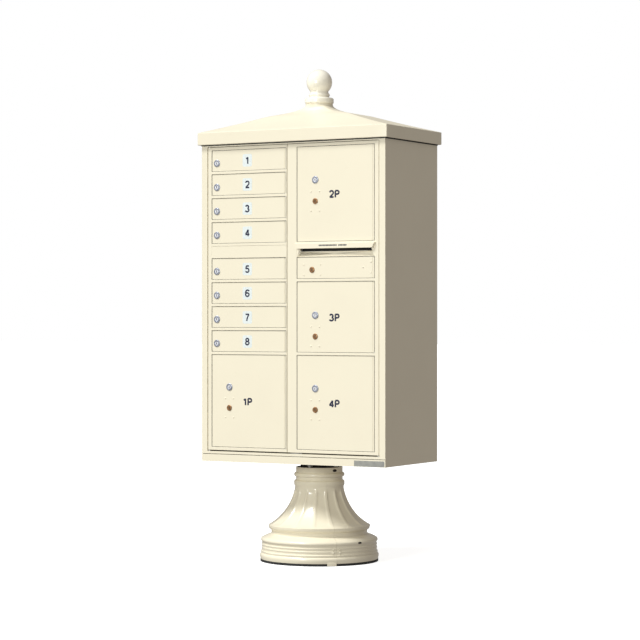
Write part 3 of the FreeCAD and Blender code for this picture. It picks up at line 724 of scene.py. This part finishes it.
def add_stroke(bm, points, width, y0, y1):
    """Flat ribbon of even width along points (x, z), from y0 in front to y1 behind."""
    rings = []
    for k, (x, z) in enumerate(points):
        ahead = Vector(points[min(k + 1, len(points) - 1)])
        behind = Vector(points[max(k - 1, 0)])
        if points[0] == points[-1] and k in (0, len(points) - 1):
            ahead, behind = Vector(points[1]), Vector(points[-2])
        along = (ahead - behind).normalized()
        across = Vector((-along.y, along.x)) * width / 2
        rings.append([bm.verts.new((x + side * across.x, y, z + side * across.y))
                      for side, y in ((1, y0), (-1, y0), (-1, y1), (1, y1))])
    add_strip(bm, rings)


def numeral(name, text, x, z, front_y, height, weight, body, label, stretch):
    """Printed number on a door, on a pale film where label gives the film's width and height."""
    gap = 0.10
    total = sum(GLYPHS[c][0] for c in text) + gap * (len(text) - 1)
    left = -total / 2
    bm = bmesh.new()
    for c in text:
        advance, strokes = GLYPHS[c]
        for order, stroke in enumerate(strokes):
            places = [(x + (left + px) * height * stretch, z + (pz - 0.5) * height) for px, pz in stroke]
            lift = (0.20 + 0.01 * order) * MM
            add_stroke(bm, places, weight, front_y - lift, front_y + 0.05 * MM)
        left += advance + gap
    new_piece(name, bm, INK_FILM, body)
    if label:
        w, h = label
        bm = bmesh.new()
        add_box(bm, (x - w / 2, front_y - 0.14 * MM, z - h / 2), (x + w / 2, front_y + 0.2 * MM, z + h / 2))
        upright_edges = [e for e in bm.edges if abs(e.verts[0].co.y - e.verts[1].co.y) > 0.1 * MM]
        bmesh.ops.bevel(bm, geom=upright_edges, offset=6 * MM, segments=6, affect="EDGES", profile=0.5)
        new_piece(name + "_film", bm, LABEL_FILM, body)


def tenant_doors():
    for n in TENANTS:
        body = "tenant_door_%d" % n
        lo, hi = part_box(body)
        door_piece(body, body)
        ring = lock_ring("tenant_lock_face_%d" % n, "tenant_plug_%d_turn" % n, body, lo.y, CHROME,
                         "lock_chrome", RING_R)
        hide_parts("tenant_lock_%d" % n)
        numeral("number_%d" % n, str(n), (lo.x + hi.x) / 2 - 6 * MM, (lo.z + hi.z) / 2 - 1.5 * MM, lo.y,
                26.5 * MM, 5.7 * MM, body, (40 * MM, 46 * MM), 1.14)


def parcel_doors():
    for n in PARCELS:
        body = "parcel_door_%d" % n
        lo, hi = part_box(body)
        door_piece(body, body)
        customer = "parcel_customer_plug_%d_turn" % n
        carrier = "parcel_carrier_plug_%d_turn" % n
        ring = lock_ring("parcel_customer_face_%d" % n, customer, body, lo.y, CHROME, "lock_chrome", RING_R)
        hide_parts("parcel_locks_%d" % n)
        lock_ring("parcel_carrier_face_%d" % n, carrier, body, lo.y, BRASS, "lock_brass", BRASS_RING_R)
        x, z = lock_centre(carrier)
        places = [(x + dx * MM, z + dz * MM) for dx in (-17.5, 17.5) for dz in (-35, 35)]
        rivets("parcel_rivets_%d" % n, places, body, lo.y)
        numeral("number_%dP" % n, "%dP" % n, (lo.x + hi.x) / 2 - 4.5 * MM, (lo.z + hi.z) / 2 - 2 * MM, lo.y,
                26 * MM, 6.2 * MM, body, None, 1.24)


def arrow_panel():
    lo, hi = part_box("arrow_lock_panel")
    door_piece("arrow_lock_panel", "right_master_door")
    ring = lock_ring("arrow_lock_face", "arrow_plug_turn", "right_master_door", lo.y, BRASS,
                     "lock_brass", BRASS_RING_R)
    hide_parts("arrow_lock")
    x, z = lock_centre("arrow_plug_turn")
    places = [(x + dx * MM, z + dz * MM) for dx in (-35, 35) for dz in (-19, 19)]
    right = hi.x - 46 * MM
    places += [(right, (lo.z + hi.z) / 2), (right + 32 * MM, (lo.z + hi.z) / 2 + 19 * MM),
               (right + 32 * MM, (lo.z + hi.z) / 2 - 19 * MM)]
    rivets("arrow_rivets", places, "right_master_door", lo.y)


left_holes = ["tenant_door_%d" % n for n in TENANTS] + ["parcel_door_1"]
right_holes = ["parcel_door_2", "parcel_door_3", "parcel_door_4", "arrow_lock_panel"]
master_frame("left", left_holes, [band_of("left")], parcel_strikes("left"))
master_frame("right", right_holes, [band_of("right")], parcel_strikes("right"))
door_linings("left", left_holes)
door_linings("right", right_holes)
blank_band()
slot_band()
mail_hood()
hood_marks()
chute()
tenant_doors()
parcel_doors()
arrow_panel()
key_guards()


# ======================================================================= pillar cover
FLUTES = 16
COVER_SEAM = math.radians(47)      # from the front towards +X
COVER_WALL = 4.5 * MM
HALF_STEPS = 192                   # columns of one half shell
HALF_GAP = 0.0012                  # radians between a half shell's edge and the seam
FLUTE_DEPTH = 4.2                  # mm
FLUTE_SHARE = 0.82                 # of the pitch, the rest is rib


def cover_outline():
    """Outline of the cover from the neck down: (radius, height, depth of the flutes there)."""
    neck = [(86.6, 348), (86.6, 328), (90.5, 327), (93.5, 323), (93.5, 317), (90.5, 313), (86.6, 312),
            (86.6, 301), (90.5, 299), (93.5, 296), (93.8, 289), (93.5, 282), (90.6, 278)]
    foot = [(187.8, 127), (186.0, 120.5), (179.0, 116), (177.6, 110), (178.2, 102), (190, 97.5),
            (204, 92), (213.5, 87), (216.7, 83), (216.7, 77), (214.6, 74.5), (212.6, 72), (212.6, 66),
            (214.4, 64.8), (214.4, 61.2), (212.8, 60), (212.8, 54), (214.8, 52.8), (214.8, 49.2),
            (213.2, 48), (213.4, 41), (216.4, 39), (216.8, 34.5), (215.2, 32), (218.0, 29.5),
            (220.2, 26.5), (220.6, 21), (219.6, 15), (218.2, 9)]
    out = [(r, z, 0.0) for r, z in neck]
    top, middle, low = Vector((90.6, 272)), Vector((118.8, 199.5)), Vector((188.6, 133))
    centre, radius = circle_through(top, middle, low)
    first = math.atan2(top.y - centre.y, top.x - centre.x)
    last = math.atan2(low.y - centre.y, low.x - centre.x)
    if last < first:
        last += 2 * math.pi
    steps = 40
    for k in range(steps + 1):
        t = k / steps
        a = first + (last - first) * t
        depth = FLUTE_DEPTH * smooth(t, 0.0, 0.10) * (1 - smooth(t, 0.90, 0.985))
        out.append((centre.x + radius * math.cos(a), centre.y + radius * math.sin(a), depth))
    out += [(r, z, 0.0) for r, z in foot]
    return [(r * MM, z * MM, d * MM) for r, z, d in out]


def circle_through(a, b, c):
    """Centre and radius of the circle through three points."""
    d = 2 * (a.x * (b.y - c.y) + b.x * (c.y - a.y) + c.x * (a.y - b.y))
    aa, bb, cc = a.length_squared, b.length_squared, c.length_squared
    ux = (aa * (b.y - c.y) + bb * (c.y - a.y) + cc * (a.y - b.y)) / d
    uy = (aa * (c.x - b.x) + bb * (a.x - c.x) + cc * (b.x - a.x)) / d
    centre = Vector((ux, uy))
    return centre, (a - centre).length


def smooth(t, low, high):
    """Rises from 0 at low to 1 at high, level at both ends."""
    t = min(1.0, max(0.0, (t - low) / (high - low)))
    return t * t * (3 - 2 * t)


def flute(angle):
    """1 in the middle of a flute, 0 on the narrow ribs between them."""
    wave = (angle / (2 * math.pi) * FLUTES) % 1.0
    across = abs(wave - 0.5) * 2
    return math.sqrt(max(0.0, 1 - (across / FLUTE_SHARE) ** 2))


def cover_half(name, node, first):
    """Half shell of the pillar cover, from a start angle measured from +X."""
    outline = cover_outline()
    bm = bmesh.new()
    grid = []
    for k in range(HALF_STEPS + 1):
        a = first + HALF_GAP + (math.pi - 2 * HALF_GAP) * k / HALF_STEPS
        dent = flute(a)
        outer = [bm.verts.new(((r - d * dent) * math.cos(a), (r - d * dent) * math.sin(a), z))
                 for r, z, d in outline]
        inner = [bm.verts.new(((r - COVER_WALL - d) * math.cos(a), (r - COVER_WALL - d) * math.sin(a), z))
                 for r, z, d in reversed(outline)]
        grid.append(outer + inner)
    loops = len(grid[0])
    for a, b in zip(grid, grid[1:]):
        bridge(bm, a, b)
    for column in (grid[0], grid[-1]):
        half = loops // 2
        for k in range(half - 1):
            bm.faces.new([column[k], column[k + 1], column[loops - 2 - k], column[loops - 1 - k]])
    piece = new_piece(name, bm, CAST_PAINT, "cabinet", 42)
    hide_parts(node)


def radial_at(angle, radius, z):
    """Local +Z points outward from the axis at an angle from +X."""
    turn = Matrix.Rotation(angle, 3, "Z") @ Matrix.Rotation(math.radians(90), 3, "Y")
    place = Vector((radius * math.cos(angle), radius * math.sin(angle), z))
    return lambda p: turn @ p + place


def add_notch(bm, angle, radius, z, half_width, half_height):
    """Slotted screw recess: an oval rim with a sunk screw head, set into a round wall; the screw's own dark steel,
    and painted shade on the rim in place of the recess's shadow.
    """
    place = radial_at(angle, radius, z)
    profile = [(0.0, 0.35 * MM), (0.32, 0.55 * MM), (0.46, 0.15 * MM), (0.62, 0.12 * MM), (0.90, 0.45 * MM),
               (1.0, 0.2 * MM), (1.0, -2.5 * MM), (0.0, -2.5 * MM)]
    rings = []
    steps = 28
    for share, h in profile:
        ring = []
        for k in range(steps if share else 1):
            a = 2 * math.pi * k / steps
            u = share * half_height * math.cos(a)
            v = share * half_width * math.sin(a)
            dip = radius - math.sqrt(radius ** 2 - v ** 2)
            ring.append(bm.verts.new(place(Vector((u, v, h - dip)))))
        rings.append(ring)
    for a, b in zip(rings, rings[1:]):
        bridge(bm, a, b)


def cover_screws():
    """Screw recesses beside the seam, one in the neck band and one on the foot, on both sides: dark screw steel
    plus painted recess shade.
    """
    bm = bmesh.new()
    for turn in (0.0, math.pi):
        angle = -math.pi / 2 + math.radians(71) + turn
        add_notch(bm, angle, 86.7 * MM, 337 * MM, 10 * MM, 5 * MM)
        add_notch(bm, angle + math.radians(2), 216.8 * MM, 80 * MM, 9 * MM, 3.6 * MM)
    new_piece("cover_screws", bm, DARK_SCREW_AND_SHADE, "cabinet", 40)


def seam_clip(name, turn):
    """Formed clip at the foot of a seam: its tongue laps the pad's edge and a tab the outer wall."""
    first = -math.pi / 2 + COVER_SEAM + turn - math.radians(9.5)
    last = first + math.radians(9.0)
    outline = [(220.7, 1.2), (220.7, 12.5), (219.4, 14.0), (218.2, 12.5), (219.5, 11.0), (219.5, 1.2)]
    steps = 16
    bm = bmesh.new()
    rings = []
    for k in range(steps + 1):
        a = first + (last - first) * k / steps
        rings.append([bm.verts.new((r * MM * math.cos(a), r * MM * math.sin(a), z * MM)) for r, z in outline])
    add_strip(bm, rings)
    piece = new_piece(name, bm, CAST_PAINT, "cabinet", 40)
    bevelled(piece, 0.3 * MM, 2)


def cover_lugs():
    """Small bosses that clip the two half shells together beside the seam."""
    bm = bmesh.new()
    for turn in (0.0, math.pi):
        for side in (-1, 1):
            for radius, z, size in ((214.0 * MM, 47 * MM, 4.6 * MM), (213.6 * MM, 58 * MM, 3.2 * MM)):
                angle = -math.pi / 2 + COVER_SEAM + turn + side * math.radians(3.4)
                profile = [(0.0, 2.2 * MM), (size * 0.7, 1.9 * MM), (size, 0.7 * MM), (size, -1.5 * MM),
                           (0.0, -1.5 * MM)]
                add_lathe(bm, profile, 20, radial_at(angle, radius, z), closed=False)
    new_piece("cover_lugs", bm, CAST_PAINT, "cabinet", 40)


cover_half("cover_shell_right", "pillar_cover_right", -math.pi / 2 + COVER_SEAM)
cover_half("cover_shell_left", "pillar_cover_left", math.pi / 2 + COVER_SEAM)
cover_screws()
cover_lugs()
seam_clip("seam_clip_front", 0.0)
seam_clip("seam_clip_back", math.pi)


# ======================================================================= roof
FASCIA_H = 46 * MM
SEAT_RISE = 6.8 * MM                       # sweep of the slopes up to the finial's seat
SEAT_R = 50 * MM
GUTTER_HALF = (396.6 * MM, 212.6 * MM)     # half sizes in X and Y inside the fascia
LEDGE_HALF = (388 * MM, 203.5 * MM)        # and of the opening over the case's top
GUTTER_H = 22 * MM


def roof_ring(bm, hx, hy, z, corner, round_share=0.0, round_r=0.0):
    """Ring round a rectangle with rounded corners, drawn towards a circle by round_share."""
    points = []
    steps, side = 4, 12
    for cx, cy, start in ((1, -1, -90), (1, 1, 0), (-1, 1, 90), (-1, -1, 180)):
        for k in range(steps + 1):
            a = math.radians(start + 90 * k / steps)
            points.append(Vector((cx * (hx - corner) + corner * math.cos(a),
                                  cy * (hy - corner) + corner * math.sin(a))))
    full = []
    for k, p in enumerate(points):
        full.append(p)
        if k % (steps + 1) == steps:
            q = points[(k + 1) % len(points)]
            full += [p.lerp(q, (j + 1) / (side + 1)) for j in range(side)]
    ring = []
    for p in full:
        a = math.atan2(p.y / hy, p.x / hx)
        circle = Vector((round_r * math.cos(a), round_r * math.sin(a)))
        p = p.lerp(circle, round_share)
        ring.append(bm.verts.new((p.x, p.y, z)))
    return ring


def roof_cap():
    """Hipped roof that sweeps up to the round seat of the finial, over a fascia with rolled edges."""
    lo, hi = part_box("roof_cap")
    hx, hy = hi.x, hi.y
    case_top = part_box("cabinet_case")[1].z
    fascia_top = lo.z + FASCIA_H
    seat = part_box("roof_finial")[0].z
    rise = seat - SEAT_RISE - fascia_top
    bm = bmesh.new()
    rings = []
    r = 2.5 * MM
    for k in range(4):
        a = math.radians(90 * k / 3)
        rings.append(roof_ring(bm, hx - r + r * math.sin(a), hy - r + r * math.sin(a),
                               lo.z + r - r * math.cos(a), 4 * MM))
    rings.append(roof_ring(bm, hx, hy, fascia_top - 2 * MM, 4 * MM))
    rings.append(roof_ring(bm, hx - 0.5 * MM, hy - 0.5 * MM, fascia_top - 0.5 * MM, 3.5 * MM))
    steps = 34
    for k in range(1, steps + 1):
        t = k / steps
        share = 1 - t * 0.885
        lift = rise * (0.82 * t + 0.18 * t ** 2.2) + SEAT_RISE * smooth(t, 0.72, 1.0)
        rings.append(roof_ring(bm, hx * share, hy * share, fascia_top + lift,
                               max(0.6 * MM, 3 * MM * share), smooth(t, 0.62, 1.0), SEAT_R))
    for a, b in zip(rings, rings[1:]):
        bridge(bm, a, b)
    bm.faces.new(rings[-1])
    inside = [roof_ring(bm, *half, z, 2 * MM) for half, z in (
        (GUTTER_HALF, lo.z), (GUTTER_HALF, lo.z + GUTTER_H), (LEDGE_HALF, lo.z + GUTTER_H),
        (LEDGE_HALF, case_top + 0.1 * MM))]
    for a, b in zip([rings[0]] + inside, inside):
        bridge(bm, b, a)
    bm.faces.new(inside[-1][::-1])
    piece = new_piece("roof", bm, PAINT, "cabinet", 14)
    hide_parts("roof_cap")


def cap_seal():
    """Black strip round the case, under the edge of the cap: painted shade for the dark line under the fascia."""
    lo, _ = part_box("roof_cap")
    _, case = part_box("cabinet_case")
    bm = bmesh.new()
    shape = [(0.1, -3.4), (2.0, -3.4), (2.6, -2.6), (2.6, 3.0), (8.2, 5.0), (8.2, 8.0), (0.1, 8.0)]
    rings = [roof_ring(bm, case.x + out * MM, case.y + out * MM, lo.z + up * MM, 1.2 * MM + out * MM)
             for out, up in shape]
    for a, b in zip(rings, rings[1:] + rings[:1]):
        bridge(bm, a, b)
    new_piece("cap_seal", bm, RUBBER_AND_SHADE, "cabinet", 30)


def finial():
    """Turned ball on its ring and collar."""
    lo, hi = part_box("roof_finial")
    z = lo.z
    ball_r = 47.5 * MM
    centre = hi.z - ball_r
    neck_r = 33.6 * MM
    turned = [(0.0, 0.0), (51.0, 0.0), (53.4, 3.0), (53.4, 17.5), (49.0, 21.0), (38.5, 22.5), (36.0, 25.0),
              (36.0, 26.5), (38.8, 29.5), (38.8, 35.0), (35.0, 38.6), (33.6, 41.0), (33.6, 46.4)]
    profile = rounded_profile([(r * MM, z + h * MM) for r, h in turned], 2.0 * MM, 3)
    start = math.asin(neck_r / ball_r)
    steps = 40
    for k in range(steps + 1):
        a = math.pi - start - (math.pi - start) * k / steps
        profile.append((ball_r * math.sin(a) if k < steps else 0.0, centre + ball_r * math.cos(a)))
    bm = bmesh.new()
    add_lathe(bm, profile, 80, upright_at(0, 0, 0), closed=False)
    # the ball takes the lightened cream: painted light
    piece = new_piece("ball_finial", bm, BALL_PAINTED_LIGHT, "cabinet", 50)
    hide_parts("roof_finial")


roof_cap()
cap_seal()
finial()


# ======================================================================= case trim
def rating_plate():
    """Blank plate on the floor pan's flange, at its right end."""
    lo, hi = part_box("cabinet_case")
    bm = bmesh.new()
    add_box(bm, (hi.x - 127 * MM, lo.y - 0.25 * MM, lo.z + 1 * MM),
            (hi.x - 3.5 * MM, lo.y + 0.3 * MM, lo.z + 22 * MM))
    piece = new_piece("rating_plate", bm, PLATE_FILM, "cabinet")
    bevelled(piece, 0.12 * MM, 1)


def back_rivets():
    """Rivets down both edges of the back panel."""
    lo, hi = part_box("cabinet_case")
    bm = bmesh.new()
    turn = Matrix.Rotation(math.radians(-90), 3, "X")
    count = 9
    for side in (-1, 1):
        for k in range(count):
            z = lo.z + 60 * MM + (hi.z - lo.z - 160 * MM) * k / (count - 1)
            place = Vector((side * (hi.x - 14 * MM), hi.y, z))
            profile = [(0.0, 1.2 * MM), (1.6 * MM, 1.1 * MM), (3.0 * MM, 0.6 * MM), (3.4 * MM, 0.1 * MM),
                       (3.4 * MM, -0.4 * MM), (0.0, -0.4 * MM)]
            add_lathe(bm, profile, 16, lambda p, at=place: turn @ p + at, closed=False)
    new_piece("back_rivets", bm, PAINT, "cabinet", 50)


rating_plate()
back_rivets()


# ======================================================================= camera, light, floor
CAMERA_PLACE = (4.132, -7.152, 0.900)
CAMERA_TURN = math.radians(30)
CAMERA_LENS = 125.05                # mm, on a sensor 36 mm wide
SUN_WAY = Vector((0.34, 0.42, -0.84))
SOFTBOX_PLACE = Vector((-0.1, -7.0, 2.0))
SOFTBOX_AIM = Vector((0, 0, 0.7))


def set_stage():
    scene = bpy.context.scene
    scene.view_settings.view_transform = "Standard"
    cam = bpy.data.cameras.new("camera")
    cam.lens = CAMERA_LENS
    cam.sensor_width = 36.0
    cam.shift_y = -0.0033
    cam.clip_end = 200.0
    camera = bpy.data.objects.new("camera", cam)
    camera.location = CAMERA_PLACE
    camera.rotation_euler = (math.radians(90), 0, CAMERA_TURN)
    scene.collection.objects.link(camera)
    scene.camera = camera

    world = bpy.data.worlds.new("studio")
    world.use_nodes = True
    nodes = world.node_tree.nodes
    links = world.node_tree.links
    back = nodes["Background"]
    back.inputs["Color"].default_value = (1.0, 0.945, 0.905, 1.0)
    back.inputs["Strength"].default_value = 0.34
    seen = nodes.new("ShaderNodeBackground")
    seen.inputs["Color"].default_value = (1.0, 1.0, 1.0, 1.0)
    seen.inputs["Strength"].default_value = 1.0
    path = nodes.new("ShaderNodeLightPath")
    blend = nodes.new("ShaderNodeMixShader")
    links.new(path.outputs["Is Camera Ray"], blend.inputs["Fac"])
    links.new(back.outputs["Background"], blend.inputs[1])
    links.new(seen.outputs["Background"], blend.inputs[2])
    links.new(blend.outputs["Shader"], nodes["World Output"].inputs["Surface"])
    scene.world = world

    sun = bpy.data.lights.new("key", "SUN")
    sun.energy = 2.9
    sun.angle = math.radians(16)
    sun.color = (0.965, 0.99, 1.0)
    key = bpy.data.objects.new("key", sun)
    key.rotation_euler = SUN_WAY.to_track_quat("-Z", "Y").to_euler()
    scene.collection.objects.link(key)

    panel = bpy.data.lights.new("softbox", "AREA")
    panel.shape = "RECTANGLE"
    panel.size = 1.2
    panel.size_y = 2.0
    panel.energy = 224.0
    panel.color = (0.965, 1.0, 0.985)
    soft = bpy.data.objects.new("softbox", panel)
    soft.location = SOFTBOX_PLACE
    soft.rotation_euler = (SOFTBOX_AIM - SOFTBOX_PLACE).to_track_quat("-Z", "Y").to_euler()
    scene.collection.objects.link(soft)

    bm = bmesh.new()
    bmesh.ops.create_grid(bm, x_segments=1, y_segments=1, size=60.0)
    mesh = bpy.data.meshes.new("floor")
    bm.to_mesh(mesh)
    bm.free()
    floor = bpy.data.objects.new("floor", mesh)
    scene.collection.objects.link(floor)
    mat, nodes, links, shader = node_material("floor")
    grain = noise(nodes, links, 3.0, 5.0, 0.6)
    links.new(ramp(nodes, links, grain, [(0.3, (0.50, 0.50, 0.498)), (0.7, (0.53, 0.53, 0.527))]),
              shader.inputs["Base Color"])
    shader.inputs["Roughness"].default_value = 0.95
    shader.inputs["Specular IOR Level"].default_value = 0.0
    shader.inputs["Emission Color"].default_value = (1.0, 1.0, 1.0, 1.0)
    shader.inputs["Emission Strength"].default_value = 0.82
    floor.visible_diffuse = False
    floor.visible_glossy = False
    floor.data.materials.append(mat)


set_stage()
